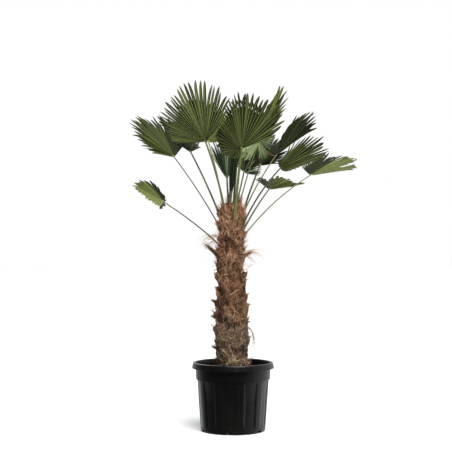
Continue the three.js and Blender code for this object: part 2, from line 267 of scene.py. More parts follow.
def pot_plastic():
    """Moulded black plastic: satin, faintly scuffed, dustier towards the foot."""
    black, dust = srgb(7, 7, 7), srgb(26, 24, 21)
    made, tree, shader = principled("pot_plastic", black, 0.3, 0.4)
    place = object_place(tree)
    scuffs = rescaled(tree, noise(tree, place, (40, 40, 7), 6), 0.24, 0.4)
    height = add(tree, "SeparateXYZ", {"Vector": place}).outputs["Z"]
    low = rescaled(tree, height, 0, 0.5, POT_HEIGHT * MM, 0)
    patches = rescaled(tree, noise(tree, place, (18, 18, 30), 8), 0, 1)
    amount = add(tree, "Math", {0: low, 1: patches}, operation="MULTIPLY").outputs["Value"]
    mix = add(tree, "Mix", {"A": black, "B": dust, "Factor": amount}, data_type="RGBA")
    feed(tree, shader, {"Base Color": mix.outputs["Result"], "Roughness": scuffs})
    bump(tree, shader, noise(tree, place, (500, 500, 500), 2), 0.1 * MM, 0.5)
    return made


# Leaf tones, painted light and shade: each is the same leaf green as lit or as shaded, picked per frond by
# how much light falls on it, "blue" the most shaded inner leaves. Each holds three shades of the upper face
# from dark to light, then three of the lower face
LEAF_LIT_AND_SHADED = {
    "lit": [(68, 76, 36), (86, 95, 48), (107, 115, 64), (62, 70, 38), (80, 89, 50), (103, 111, 70)],
    "olive": [(44, 51, 21), (66, 76, 29), (98, 108, 46), (42, 49, 24), (62, 71, 33), (92, 101, 54)],
    "mid": [(38, 45, 19), (57, 66, 28), (88, 98, 44), (36, 43, 22), (54, 62, 31), (84, 94, 50)],
    "deep": [(29, 34, 14), (43, 50, 21), (72, 81, 36), (27, 32, 16), (41, 47, 23), (68, 77, 40)],
    "dark": [(22, 28, 11), (32, 40, 16), (51, 60, 27), (24, 30, 13), (36, 44, 20), (56, 65, 34)],
    "blue": [(18, 26, 15), (32, 43, 25), (60, 74, 46), (22, 31, 20), (38, 49, 32), (66, 79, 56)],
}
SHADE_ODDS = [0.34, 0.4, 0.26]  # of the dark, middle and light shade
# Rib tones: paler, as real midribs are, and lighter still as painted highlight along the pleat lines; each
# follows its leaf tone's painted light or shade
RIB_LIT_AND_SHADED = {
    "lit": (144, 150, 88), "olive": (132, 139, 80), "mid": (122, 130, 74), "deep": (104, 112, 60),
    "dark": (62, 70, 42), "blue": (84, 97, 68),
}
# Stalk tones, painted light and shade: "shade", "lit" and "bright" (the most lit) for a whole stalk, each as
# its upper face lit and its lower face in painted shade
STALK_LIT_AND_SHADED = {
    "shade": [(92, 99, 66), (68, 74, 50)],
    "lit": [(124, 131, 82), (94, 102, 60)],
    "bright": [(126, 134, 66), (98, 107, 52)],
}
HASTULAS = {"pale": (142, 140, 80), "orange": (196, 148, 56)}

GLAUCOUS_TONES = [(104, 119, 86), (126, 140, 104), (148, 163, 134)]
STALK_VEINS = (10, 40, 1)

LEAF = {tone: [leafy(f"leaf_{tone}_{k}", colour) for k, colour in enumerate(colours)]
        for tone, colours in LEAF_LIT_AND_SHADED.items()}
RIB = {tone: leafy(f"leaf_rib_{tone}", colour) for tone, colour in RIB_LIT_AND_SHADED.items()}
GLAUCOUS = [leafy(f"leaf_glaucous_{k}", colour) for k, colour in enumerate(GLAUCOUS_TONES)]
DEAD = leafy("leaf_dead", (128, 98, 74), 0.75)
TIP = leafy("leaf_tip", (104, 92, 54), 0.7)
STALK = {tone: [leafy(f"stalk_{tone}_{k}", colour, 0.45, 0.2, STALK_VEINS)
                for k, colour in enumerate(colours)]
         for tone, colours in STALK_LIT_AND_SHADED.items()}
STALK_BASE = leafy("stalk_base", (104, 82, 52), 0.65, 0.15, STALK_VEINS)
HASTULA = {tone: leafy(f"hastula_{tone}", colour) for tone, colour in HASTULAS.items()}

# Each fibre has a plain, light and dark shade; the dark one is darker fibre at random and also painted shade
# in hollows and under the old bases' lips
FIBRE_COLOURS = {
    "red": (158, 112, 81), "red_light": (214, 172, 136), "red_dark": (74, 47, 32),
    "brown": (140, 100, 73), "brown_light": (198, 158, 123), "brown_dark": (56, 37, 25),
    "grey": (126, 98, 76), "grey_light": (184, 158, 129), "grey_dark": (54, 39, 29),
    "straw": (214, 196, 168), "pale_mat": (172, 152, 130), "olive": (148, 131, 82),
}
FIBRE_NAMES = list(FIBRE_COLOURS)
FIBRE = [fibrous(f"fibre_{name}", colour) for name, colour in FIBRE_COLOURS.items()]
# painted shade: the bare trunk under the fibre is a near-black brown, its fibre colour darkened to stand in
# for the shade in the gaps between strands
TRUNK_MAT_AND_SHADE = mottled("trunk_mat", (26, 16, 10), (78, 55, 38), (120, 120, 60), 0.95, 3 * MM)
SOIL_MATERIAL = mottled("soil", (30, 20, 14), (84, 62, 44), (140, 140, 140), 0.95, 3 * MM)
BARK_BIT = mottled("bark_bit", (58, 38, 26), (128, 96, 68), (200, 200, 200), 0.9, 1 * MM)
STUB_MATERIAL = mottled("old_leaf_base", (34, 22, 14), (98, 71, 49), (160, 160, 40), 0.9, 1.5 * MM)
STUB_CUT = mottled("cut_end", (62, 46, 34), (108, 84, 62), (300, 300, 300), 0.9, 0.5 * MM)
PLASTIC = pot_plastic()


def fibre_slot(*names):
    return [FIBRE_NAMES.index(name) for name in names]


# ---- mesh building


class Sheet:
    """Gathers grids of points into one mesh with a UV map along and across them."""

    def __init__(self):
        self.points = []
        self.quads = []
        self.slots = []
        self.grain = []
        self.count = 0

    def grids(self, points, slots=0, wrap=False):
        """Adds k grids at once: points is (k, rows, columns, 3), and slots gives each quad's material."""
        k, rows, columns, _ = points.shape
        index = self.count + np.arange(k * rows * columns).reshape(k, rows, columns)
        beside = np.roll(index, -1, axis=2) if wrap else index[:, :, 1:]
        here = index if wrap else index[:, :, :-1]
        quads = np.stack([here[:, :-1], beside[:, :-1], beside[:, 1:], here[:, 1:]], axis=-1)
        across = np.arange(quads.shape[2]) / quads.shape[2]
        step = 1 / quads.shape[2]
        along = np.concatenate([np.zeros((k, 1)), np.cumsum(
            np.linalg.norm(np.diff(points.mean(axis=2), axis=1), axis=2), axis=1)], axis=1)
        u = np.stack([across, across + step, across + step, across], axis=-1)
        v = np.stack([along[:, :-1], along[:, :-1], along[:, 1:], along[:, 1:]], axis=-1)
        grain = np.empty(quads.shape + (2,))
        grain[..., 0] = u[None, None]
        grain[..., 1] = v[:, :, None] * 10
        self.points.append(points.reshape(-1, 3))
        self.quads.append(quads.reshape(-1, 4))
        self.slots.append(np.broadcast_to(slots, quads.shape[:3]).reshape(-1))
        self.grain.append(grain.reshape(-1, 2))
        self.count += k * rows * columns

    def grid(self, points, slots=0, wrap=False):
        """Adds one grid: points is (rows, columns, 3)."""
        self.grids(np.asarray(points)[None], slots, wrap)

    def build(self, name, materials, nodes=(), sharp=None):
        """Makes the object, rides it on the root body, gives it its material slots and hides the CAD nodes
        it replaces.
        """
        points = np.concatenate(self.points)
        quads = np.concatenate(self.quads)
        mesh = bpy.data.meshes.new(name)
        mesh.vertices.add(len(points))
        mesh.vertices.foreach_set("co", points.astype(np.float32).ravel())
        mesh.loops.add(quads.size)
        mesh.loops.foreach_set("vertex_index", quads.astype(np.int32).ravel())
        mesh.polygons.add(len(quads))
        mesh.polygons.foreach_set("loop_start", np.arange(0, quads.size, 4, dtype=np.int32))
        mesh.polygons.foreach_set("material_index", np.concatenate(self.slots).astype(np.int32))
        mesh.polygons.foreach_set("use_smooth", np.ones(len(quads), dtype=bool))
        grain = mesh.uv_layers.new(name="grain")
        grain.data.foreach_set("uv", np.concatenate(self.grain).astype(np.float32).ravel())
        mesh.update(calc_edges=True)
        mesh.validate()
        if sharp is not None:
            mesh.set_sharp_from_angle(angle=math.radians(sharp))
        for material in materials:
            mesh.materials.append(material)
        piece = bpy.data.objects.new(name, mesh)
        bpy.context.scene.collection.objects.link(piece)
        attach(piece, "root")
        if nodes:
            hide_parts(*nodes)


def unit(vectors):
    return vectors / np.maximum(np.linalg.norm(vectors, axis=-1, keepdims=True), 1e-12)


def direction(around, rise=0.0):
    """A unit vector, `around` degrees round from +X and `rise` degrees above level."""
    a, e = np.radians(around), np.radians(rise)
    return np.stack([np.cos(e) * np.cos(a), np.cos(e) * np.sin(a), np.sin(e) + 0 * a], axis=-1)


def frame_round(way):
    """Two unit vectors across a direction: the level one and the one that points up."""
    across = unit(np.cross(way, [0, 0, 1.0]))
    return across, np.cross(across, way)


def turns(count):
    """Equal steps once round, in radians."""
    return np.linspace(0, math.tau, count, endpoint=False)


def bent(start, middle, end, s):
    """Points at shares s of a curve that leaves start for middle and comes to end from there."""
    return (1 - s) ** 2 * start + 2 * s * (1 - s) * middle + s * s * end


def smooth(value, low, high):
    """0 below low, 1 above high, and a smooth step between."""
    share = np.clip((value - low) / (high - low), 0, 1)
    return share * share * (3 - 2 * share)


# ---- leaf blades

RINGS = np.concatenate([np.linspace(0, 0.48, 7), np.linspace(0.54, 0.96, 8), [1.0]])
HUB_RADIUS = 7 * MM
PLEAT = math.radians(46)  # how steeply each segment's halves slope to its rib
RIB_HALF_WIDTH = 1.5 * MM
LEAF_THICKNESS = 0.7 * MM
KEEL = 0.9 * MM
TIP_WIDTH = 0.6 * MM
WHOLE_SPLIT, WHOLE_PLEAT = 0.92, 0.35  # where segments that hardly split part, and how much less they fold
SWAY = 0.022  # radians that a tip strays sideways
ROLL = 16  # degrees that a tip turns about its own line
PALE_SHARE = 0.94
DRY_TIP_SHARE = 0.3


def blade_axes(leaf):
    """The blade's own X, Y and Z directions, as rows."""
    axis = direction(leaf.heading, leaf.rise)
    up = direction(leaf.heading, leaf.rise + 90.0)
    side = np.cross(up, axis)
    twist = math.radians(leaf.twist)
    turned_up = up * math.cos(twist) - side * math.sin(twist)
    return np.stack([axis, np.cross(turned_up, axis), turned_up])


def on_blade(leaf, x, y, z):
    """Places flat blade coordinates on the folded, recurved blade: z is out of its upper face."""
    fold = math.radians(leaf.fold)
    radius = leaf.radius * MM
    crease = leaf.crease * MM
    soft = np.sqrt(y * y + crease * crease)
    lift = (soft - crease) * math.sin(fold) - RECURVE * (x * x + y * y) / radius
    slope_x = -2 * RECURVE * x / radius
    slope_y = y / soft * math.sin(fold) - 2 * RECURVE * y / radius
    flat = 1 - math.cos(fold)
    level = 1 - flat * np.tanh(y / crease) ** 2
    width = y * math.cos(fold) + flat * crease * np.tanh(y / crease)
    normal = unit(np.stack([-slope_x * level, -slope_y, level], axis=-1))
    surface = np.stack([x, width, lift], axis=-1) + normal * z[..., None]
    return surface @ blade_axes(leaf) + np.array(leaf.hub) * MM


def blade(leaf):
    """A fan of pleated segments, joined over its inner part and free towards the tips."""
    chance = np.random.default_rng(sum(map(ord, leaf.name)))
    count = leaf.segments
    first, last = leaf.span
    turn = first + (np.arange(count) + 0.5) / count * (last - first)
    middle = np.radians(turn)
    half = math.radians(last - first) / count / 2
    share = 1 - leaf.basal * np.minimum(np.abs(turn) / leaf.spread, 1) ** 2
    if leaf.reach:
        share = np.interp(turn, *np.transpose(leaf.reach))
    length = leaf.radius * MM * share * chance.uniform(0.96, 1.06, count)
    dying = np.arange(count)[::-1][:leaf.dead]
    length[dying] *= chance.uniform(0.4, 0.6, len(dying))
    split = length * chance.uniform(*leaf.joined, count)
    whole = (turn < leaf.whole[0]) | (turn > leaf.whole[1])
    split[whole] = WHOLE_SPLIT * length[whole]
    sway = chance.normal(0, SWAY, count)
    droop = leaf.droop * leaf.radius * MM * chance.normal(1.0, 1.0, count)
    roll = np.radians(chance.normal(0, ROLL, count))

    r = HUB_RADIUS + RINGS[None] * (length - HUB_RADIUS)[:, None]
    free = np.clip((r - split[:, None]) / (length - split)[:, None], 0, 1)
    taper = (1 - free ** 4) ** 0.75
    joined = np.minimum(r, split[:, None]) * math.tan(half)
    wide = joined * taper * (1 - 0.1 * smooth(free, 0, 0.35)) + TIP_WIDTH * free
    rib = np.minimum(RIB_HALF_WIDTH * (1 - 0.6 * free), 0.2 * wide)
    depth = (joined * taper - np.minimum(rib, joined * taper)) * math.tan(PLEAT)
    depth *= leaf.pleat
    depth[whole] *= WHOLE_PLEAT
    sheet = np.minimum(LEAF_THICKNESS, wide)
    keel = KEEL * (1 - 0.7 * free)
    # the section's points, over the upper face from edge to edge and back underneath
    zero = np.zeros_like(wide)
    across = np.stack([-wide, -rib, rib, wide, wide, rib, zero, -rib, -wide], axis=-1)
    height = np.stack([zero, -depth, -depth, zero, -sheet, -depth - sheet, -depth - sheet - keel,
                       -depth - sheet, -sheet], axis=-1) + 0.5 * depth[..., None]
    tilt = (roll[:, None] * free)[..., None]
    across, height = (across * np.cos(tilt) - height * np.sin(tilt),
                      across * np.sin(tilt) + height * np.cos(tilt))
    angle = middle[:, None, None] + (sway[:, None] * free * free)[..., None]
    x = r[..., None] * np.cos(angle) - across * np.sin(angle)
    y = r[..., None] * np.sin(angle) + across * np.cos(angle)
    z = height - (droop[:, None] * free * free)[..., None]

    # places in the list of materials: shades of the upper face are 0 to 2, of the lower face 3 to 5; 12 to
    # 14 are painted shade, dark copies for the dimmed segments
    ribbed, glaucous, dead, tip, dark, painted_shade_under, painted_shade_rib = 6, 7, 10, 11, 12, 13, 14
    shade = chance.choice(3, count, p=SHADE_ODDS)[:, None]
    other = chance.choice(3, count, p=SHADE_ODDS)[:, None]
    # painted light and shade: segments that hardly split alternate middle and light shades in place of the
    # shading of their flattened pleats
    shade[whole] = 1 + np.arange(count)[whole, None] % 2
    band = np.full((count, 1), ribbed)
    columns = np.concatenate([shade, band, shade, 3 + shade, 3 + other, band, band, 3 + other, 3 + other],
                             axis=1)
    slots = np.tile(columns[:, None], (1, len(RINGS) - 1, 1))
    # painted shade: segments in the dimmed ranges take dark copies of the leaf and rib colours
    for low, high in leaf.dim:
        dim = (turn > low) & (turn < high)
        slots[dim] = np.select([slots[dim] == ribbed, slots[dim] < 3], [painted_shade_rib, dark], painted_shade_under)
    likely = np.where((turn < leaf.pale[0]) | (turn > leaf.pale[1]), PALE_SHARE, leaf.streaks)
    pale = chance.random(count) < likely
    bloom = glaucous + chance.choice(3, count)[pale, None, None]
    slots[pale] = np.where(slots[pale] == ribbed, ribbed, bloom)
    slots[dying] = dead
    slots[(chance.random(count) < DRY_TIP_SHARE) & ~whole, -1:] = tip

    made = Sheet()
    made.grids(on_blade(leaf, x, y, z), slots, wrap=True)
    materials = [*LEAF[leaf.tone], RIB[leaf.tone], *GLAUCOUS, DEAD, TIP, *LEAF["deep"][::3],
                 RIB["dark"]]
    made.build(f"blade_{leaf.name}", materials, [f"fan_{leaf.name}"], sharp=18)


# ---- leaf stalks


def stalk_line(leaf, steps):
    """The petiole's centre line from inside the trunk to just past its hub, and its tangents."""
    around, height = leaf.root
    base = np.array([TRUNK_AXIS_X, 0, height]) + PETIOLE_START * direction(around)
    end = np.array(leaf.hub, float)
    along = unit(end - base)
    lift = unit(np.array([0, 0, 1.0]) - along * along[2])
    middle = (base + end) / 2 + lift * 2 * leaf.bow
    end = end + unit(end - middle) * PETIOLE_SOCKET
    s = np.linspace(0, 1, steps)[:, None]
    tangent = unit((1 - s) * (middle - base) + s * (end - middle))
    return bent(base, middle, end, s) * MM, tangent


def exit_step(line):
    """The first step at which a stalk's line is clear of the trunk's fibre."""
    ring_z, ring_radius, ring_wander = (TRUNK_RINGS * MM).T
    away = np.hypot(line[:, 0] - np.interp(line[:, 2], ring_z, ring_wander), line[:, 1])
    clear = (away > np.interp(line[:, 2], ring_z, ring_radius)) | (line[:, 2] > ring_z[-1])
    return int(np.argmax(clear))


# A stalk's section: points from one edge over the upper face to the other, and back underneath
STALK_UPPER = [(-1.0, 0.1), (-0.55, 0.28), (0, 0.2), (0.55, 0.28)]
STALK_LOWER = [(1.0, 0.1), (0.86, -0.35), (0.48, -0.8), (0, -1.0), (-0.48, -0.8), (-0.86, -0.35)]
TOOTH = 1.1  # mm that a tooth stands out


def stalk(leaf):
    """A half-round petiole with toothed edges, a brown base and a small hastula at its tip."""
    chance = np.random.default_rng(len(leaf.name) + leaf.root[0])
    steps = 120
    line, tangent = stalk_line(leaf, steps)
    across, up = frame_round(tangent)
    s = np.linspace(0, 1, steps)
    broad = (7.0 - 2.0 * s + 4 * np.exp(-(s / 0.08) ** 2)) * MM * leaf.stalk
    thick = (5.8 - 1.8 * s) * MM * leaf.stalk
    toothed = smooth(s, 0.2, 0.35) * (1 - smooth(s, 0.9, 0.97))
    tooth = np.where(np.arange(steps) % 3 == 0, TOOTH, 0.0) * toothed * MM
    tooth = tooth * chance.uniform(0.3, 1.3, steps)
    rows = []
    for side, height in STALK_UPPER + STALK_LOWER:
        reach = side * broad + (np.sign(side) * tooth if abs(side) == 1 else 0)
        rows.append(line + across * reach[:, None] + up * (height * thick)[:, None])
    points = np.stack(rows, axis=1)
    upper, lower, base, hastula = range(4)
    # painted light and shade: the upper face takes the stalk tone's lit colour, the lower face its shaded
    # one
    slots = np.tile([upper] * len(STALK_UPPER) + [lower] * len(STALK_LOWER), (steps - 1, 1))
    slots[:exit_step(line) + 2] = base
    made = Sheet()
    made.grid(points, slots, wrap=True)
    end = points[-1]
    made.grid(np.stack([end, end.mean(axis=0) + 0 * end]), upper, wrap=True)

    axes = blade_axes(leaf)
    hub = np.array(leaf.hub) * MM
    bend = np.linspace(-1, 1, 13)
    ridge = []
    for lean, rise in ((-0.2, 0.0), (0.0, 3.4), (0.35, 4.2), (0.75, 2.4), (1.3, 0.0)):
        x = (2 + 8 * lean) * MM + 5 * MM * (1 - bend * bend)
        y = bend * 9.5 * MM
        z = (rise * (1 - 0.6 * bend * bend) - 0.6) * MM
        ridge.append(np.stack([x, y, z], axis=-1))
    made.grid(np.stack(ridge) @ axes + hub, hastula)
    materials = [*STALK[leaf.stalk_tone], STALK_BASE, HASTULA[leaf.hastula]]
    made.build(f"stalk_{leaf.name}", materials, [f"petiole_{leaf.name}"], sharp=40)


def spear():
    """The closed young leaf: pleats pressed together into a pointed bundle on a slimmer stalk."""
    base, tip = np.array(SPEAR_BASE) * MM, np.array(SPEAR_TIP) * MM
    steps, sides = 60, 28
    s = np.linspace(0, 1, steps)
    across, up = frame_round(unit(tip - base))
    turn = turns(sides)
    pleat = 1 + 0.22 * np.cos(turn * 7)
    swell = 9 + 8 * smooth(s, 0.3, 0.55) - 6 * smooth(s, 0.7, 1.0)
    radius = swell * MM * (1 - smooth(s, 0.86, 1.0) * 0.85)
    centre = base + s[:, None] * (tip - base)
    ring = np.cos(turn)[None, :, None] * across + 0.75 * np.sin(turn)[None, :, None] * up
    points = centre[:, None] + ring * (radius[:, None] * pleat[None])[..., None]
    made = Sheet()
    # painted shade: the bundle takes the shaded dark and blue leaf tones, its lower third the shaded stalk's
    # colours
    slots = np.tile(np.arange(sides) % 4 // 2, (steps - 1, 1))
    slots[:steps // 3] += 2
    made.grid(points, slots, wrap=True)
    made.build("spear_leaf", [LEAF["dark"][1], LEAF["blue"][1], *STALK["shade"]], ["spear"])


# ---- trunk

BOOT_COUNT = 84
BOOT_TURN = 137.5  # degrees from one old leaf base to the next
BOOT_LOW, BOOT_HIGH = 372, 1226
BOOT_HALF_WIDTH = 40 * MM
BOOT_HALF_HEIGHT = 36 * MM
BOOT_REACH = 22 * MM
MEAN_RADIUS = 80 * MM
LEAST_RADIUS = 30 * MM
CORE_INSET = 16 * MM  # how far the bare trunk lies inside the outline

boot_angle = np.radians(np.arange(BOOT_COUNT) * BOOT_TURN) + rng.normal(0, 0.12, BOOT_COUNT)
boot_height = np.linspace(BOOT_LOW, BOOT_HIGH, BOOT_COUNT) * MM + rng.normal(0, 7 * MM, BOOT_COUNT)
boot_reach = BOOT_REACH * rng.uniform(0.5, 1.1, BOOT_COUNT) * (1 - 0.55 * smooth(boot_height, 1.08, 1.2))
boot_lean = rng.normal(0, 0.25, BOOT_COUNT)

# Deep shaded hollows in the fibre, on the front: sideways place, height, half width, half height, depth
HOLLOWS = [
    (-32, 1032, 42, 26, 24), (2, 588, 40, 20, 20), (45, 716, 14, 10, 12), (-55, 470, 20, 30, 10),
    (55, 470, 20, 20, 9), (-20, 870, 16, 26, 8), (-40, 780, 22, 12, 10), (20, 700, 30, 9, 9),
]


def wave_sum(waves, theta, z):
    """A sum of waves over the trunk: each is (times round, per metre up, phase, height)."""
    total = np.zeros_like(theta + z)
    for around, upward, phase, height in waves:
        total += height * np.cos(around * theta + upward * z + phase)
    return total


def random_waves(count, around, upward, height):
    """Waves with times round, steepness and height drawn between limits."""
    return [(rng.integers(*around), rng.uniform(-upward, upward), rng.uniform(0, math.tau),
             rng.uniform(*height) * MM) for _ in range(count)]


lumps = random_waves(22, (2, 13), 150, (0.4, 1.5))
ridges = random_waves(40, (14, 70), 260, (0.15, 0.5))


def boots(theta, z):
    """How far the old leaf bases stand out: each swells up to a torn lip that overhangs what is above."""
    best = np.zeros_like(theta + z)
    for angle, height, reach, lean in zip(boot_angle, boot_height, boot_reach, boot_lean):
        gap = (theta - angle + math.pi) % (math.tau) - math.pi
        v = (z - height) / BOOT_HALF_HEIGHT + lean * gap * 2
        u = gap * MEAN_RADIUS / (BOOT_HALF_WIDTH * (1.05 - 0.3 * np.clip(v, -1, 1)))
        body = np.clip(1 - u * u, 0, 1) ** 0.7 * smooth(v, -1.5, 0.85) * (1 - smooth(v, 0.86, 1.06))
        best = np.maximum(best, body * reach)
    return best


def hollows(x, y, z):
    """How deep the shaded hollows are."""
    total = np.zeros_like(x + z)
    for left, height, wide, tall, depth in HOLLOWS:
        away = ((x - left * MM) / (wide * MM)) ** 2 + ((z - height * MM) / (tall * MM)) ** 2
        total += depth * MM * np.exp(-away * 1.4) * (y < 0)
    return total


def trunk_point(theta, z, out=0.0, fine=False):
    """A point on the trunk's fibre, `out` metres off its surface."""
    ring_z, ring_radius, ring_wander = (TRUNK_RINGS * MM).T
    radius = np.interp(z, ring_z, ring_radius)
    swell = 0.035 * np.sin(3 * theta + z / (55 * MM)) + 0.02 * np.sin(5 * theta - z / (38 * MM))
    radius = radius * (1 + swell)
    radius = radius + boots(theta, z) - CORE_INSET + wave_sum(lumps, theta, z)
    x, y = radius * np.cos(theta), radius * np.sin(theta)
    radius = np.maximum(radius - hollows(x, y, z), LEAST_RADIUS) + out
    if fine:
        radius = radius + wave_sum(ridges, theta, z)
    x = np.interp(z, ring_z, ring_wander) + radius * np.cos(theta)
    return np.stack([x, radius * np.sin(theta), z + 0 * theta], axis=-1)


def sprout(chance, theta, z, depth, rises):
    """Where something leaves the trunk, from `depth` metres in, and its way, at a rise between two."""
    start = trunk_point(np.array(theta), np.array(z), -depth)
    return start, direction(math.degrees(theta), chance.uniform(*rises))


def trunk():
    """The trunk's body, with the relief of its old leaf bases under the fibre."""
    around, rows = 220, 400
    theta = turns(around)[None]
    z = np.linspace(TRUNK_RINGS[0, 0] - 6, TRUNK_RINGS[-1, 0], rows)[:, None] * MM
    points = trunk_point(theta, z, fine=True)
    top = points[-1]
    middle = top.mean(axis=0)
    lids = np.stack([top, top * 0.6 + middle * 0.4 + [0, 0, 8 * MM], middle + [0, 0, 10 * MM] + 0 * top])
    made = Sheet()
    made.grid(points, wrap=True)
    made.grid(lids, wrap=True)
    made.build("trunk_body", [TRUNK_MAT_AND_SHADE], ["trunk"])


# ---- fibre

COAT_FOOT, COAT_TOP = 352, 1266  # the heights between which strands lie on the trunk
STRAND_TURN = 16  # how many degrees a strand's slant strays
RED_FROM, BROWN_FROM = 0.99, 0.6  # metres up from which the fibre is reddish, and brown
FIBRE_ODDS = [0.46, 0.24, 0.3]  # of its plain, light and dark shade
STRAW_SHARE = 0.025


def ribbons(made, chance, paths, half_width, facing, slots):
    """Adds k thin flat ribbons, each turned a little about its own line so that it catches the light."""
    tangent = unit(np.gradient(paths, axis=1))
    side = unit(np.cross(tangent, facing))
    turn = np.radians(chance.uniform(-55, 55, len(paths)))[:, None, None]
    side = side * np.cos(turn) + np.cross(tangent, side) * np.sin(turn)
    side = side * half_width[..., None]
    points = np.stack([paths - side, paths + side], axis=2)
    made.grids(points, np.asarray(slots)[:, None, None])


def fibre_slots(z, chance, theta=None):
    """A fibre colour for each height: reddish at the top, brown, then greyer towards the soil.

    With the turn round the trunk too, strands in hollows and under the old bases' lips take the dark shade
    as painted shade.
    """
    count = len(z)
    red = z > RED_FROM + 0.05 * chance.normal(size=count)
    brown = z > BROWN_FROM + 0.06 * chance.normal(size=count)
    zone = np.select([red, brown], [0, 1], 2)
    shade = chance.choice(3, count, p=FIBRE_ODDS)
    if theta is not None:
        # painted shade: the dark shade where hollows are deep or the old bases' relief is low, under their
        # lips
        deep = hollows(MEAN_RADIUS * np.cos(theta), MEAN_RADIUS * np.sin(theta), z) / (9 * MM)
        low = 0.75 * (1 - smooth(boots(theta, z), 0, 0.5 * BOOT_REACH)) * (1 - smooth(z, 1.1, 1.18))
        shade = np.where(chance.random(count) < np.maximum(deep, low), 2, shade)
    slots = zone * 3 + shade
    slots[chance.random(count) < STRAW_SHARE] = FIBRE_NAMES.index("straw")
    return slots


def wind(theta, start, length, heading, offset=0.0):
    """Strands laid over the trunk: their turn and height at each step, from a heading off upright."""
    n = heading.shape[-1]
    sideways = np.cumsum(np.sin(heading), axis=-1) / n * length + offset * np.cos(heading)
    around = theta + sideways / MEAN_RADIUS
    z = start + np.cumsum(np.cos(heading), axis=-1) / n * length - offset * np.sin(heading)
    return around, np.clip(z, COAT_FOOT * MM, COAT_TOP * MM)


def lay(made, chance, around, z, out, half_width, slots):
    """Adds strands that lie on the trunk."""
    facing = np.stack([np.cos(around), np.sin(around), 0 * around], axis=-1)
    ribbons(made, chance, trunk_point(around, z, out), half_width, facing, slots)


def mat_strands(made, chance, count, reach, lean, half_width, lift, zone=(COAT_FOOT, 1258), tones=None):
    """Single strands that wind over the trunk at about `lean` degrees either way from upright."""
    s = np.linspace(0, 1, 8)[None]
    theta = chance.uniform(0, math.tau, (count, 1))
    start = chance.uniform(*zone, (count, 1)) * MM
    length = chance.uniform(*reach, (count, 1)) * MM
    slant = np.radians(lean + chance.normal(0, STRAND_TURN, (count, 1)))
    slant = slant * chance.choice([-1, 1], (count, 1))
    heading = slant + chance.normal(0, 0.5, (count, 1)) * (s - 0.5)
    around, z = wind(theta, start, length, heading)
    out = (chance.uniform(*lift, (count, 1)) + 5 * chance.random((count, 1)) * (2 * s - 1) ** 4) * MM
    width = chance.uniform(*half_width, (count, 1)) * MM * (1 - 0.75 * np.abs(2 * s - 1) ** 3)
    # the turn round the trunk lets fibre_slots paint shade into hollows and under lips
    halfway = (z[:, 4], chance, around[:, 4])
    slots = fibre_slots(*halfway) if tones is None else chance.choice(tones, count)
    lay(made, chance, around, z, out, width, slots)


def tufts(made, chance, count, strands):
    """Locks of fibre: strands that follow one path together, gathered in the middle."""
    s = np.linspace(0, 1, 9)[None, None]
    each = (count, 1, 1)
    theta = chance.uniform(0, math.tau, each)
    start = chance.uniform(365, 1225, each) * MM
    length = chance.uniform(35, 120, each) * MM
    heading = chance.normal(0, 0.8, each) + chance.normal(0, 1.0, each) * (s - 0.5)
    offset = chance.normal(0, 1, (count, strands, 1)) * chance.uniform(2.5, 7, each) * MM
    offset = offset * (1 - 0.7 * np.sin(math.pi * s) ** 0.7)
    around, z = wind(theta, start, length, heading, offset)
    lift = chance.uniform(1, 5, (count, strands, 1)) + 8 * chance.random((count, strands, 1)) * s ** 3
    width = chance.uniform(0.35, 0.85, (count, strands, 1)) * MM * (1 - 0.7 * s ** 2)
    # the turn round the trunk lets fibre_slots paint shade into hollows and under lips
    tone = fibre_slots(z[:, 0, 4], chance, around[:, 0, 4])[:, None]
    other = fibre_slots(np.repeat(start[:, 0, 0], strands), chance).reshape(count, strands)
    slots = np.where(chance.random((count, strands)) < 0.8, tone, other).ravel()
    around, z, lift, width = (part.reshape(count * strands, -1) for part in (around, z, lift * MM, width))
    lay(made, chance, around, z, lift, width, slots)


def bundle(made, chance, start, way, length, root, tip, count, half_width, tones, droop=0.0, wild=0.06):
    """Hairs that leave one place together, from a root radius to a tip radius, all in millimetres."""
    s = np.linspace(0, 1, 10)[None, :, None]
    across, up = frame_round(way)
    spin = chance.uniform(0, math.tau, count)
    off = np.sqrt(chance.random(count))
    place = (np.cos(spin) * off)[:, None] * across + (np.sin(spin) * off * 0.6)[:, None] * up
    reach = (chance.uniform(0.55, 1.08, count) * length * MM)[:, None, None]
    curl = chance.normal(0, wild, (count, 1, 3))
    sag = np.array([0, 0, -droop]) * chance.uniform(0.4, 1.3, (count, 1, 1))
    spread = place[:, None] * (root + (tip - root) * s) * MM
    paths = start + spread + (way * s + sag * s * s + curl * s * s) * reach
    facing = np.broadcast_to(unit(chance.normal(0, 1, (count, 1, 3))), paths.shape)
    width = chance.uniform(*half_width, (count, 1)) * MM * (1 - 0.8 * s[..., 0])
    ribbons(made, chance, paths, width, facing, chance.choice(tones, count))


SHEATH_TONES = fibre_slot("red", "red_light", "red_dark", "red", "brown_dark", "red")
SHEATH_HAIRS = 120
SHEATH_DEPTH = 60  # how far inside the trunk's outline they begin
RAGGED_POINTS = 110


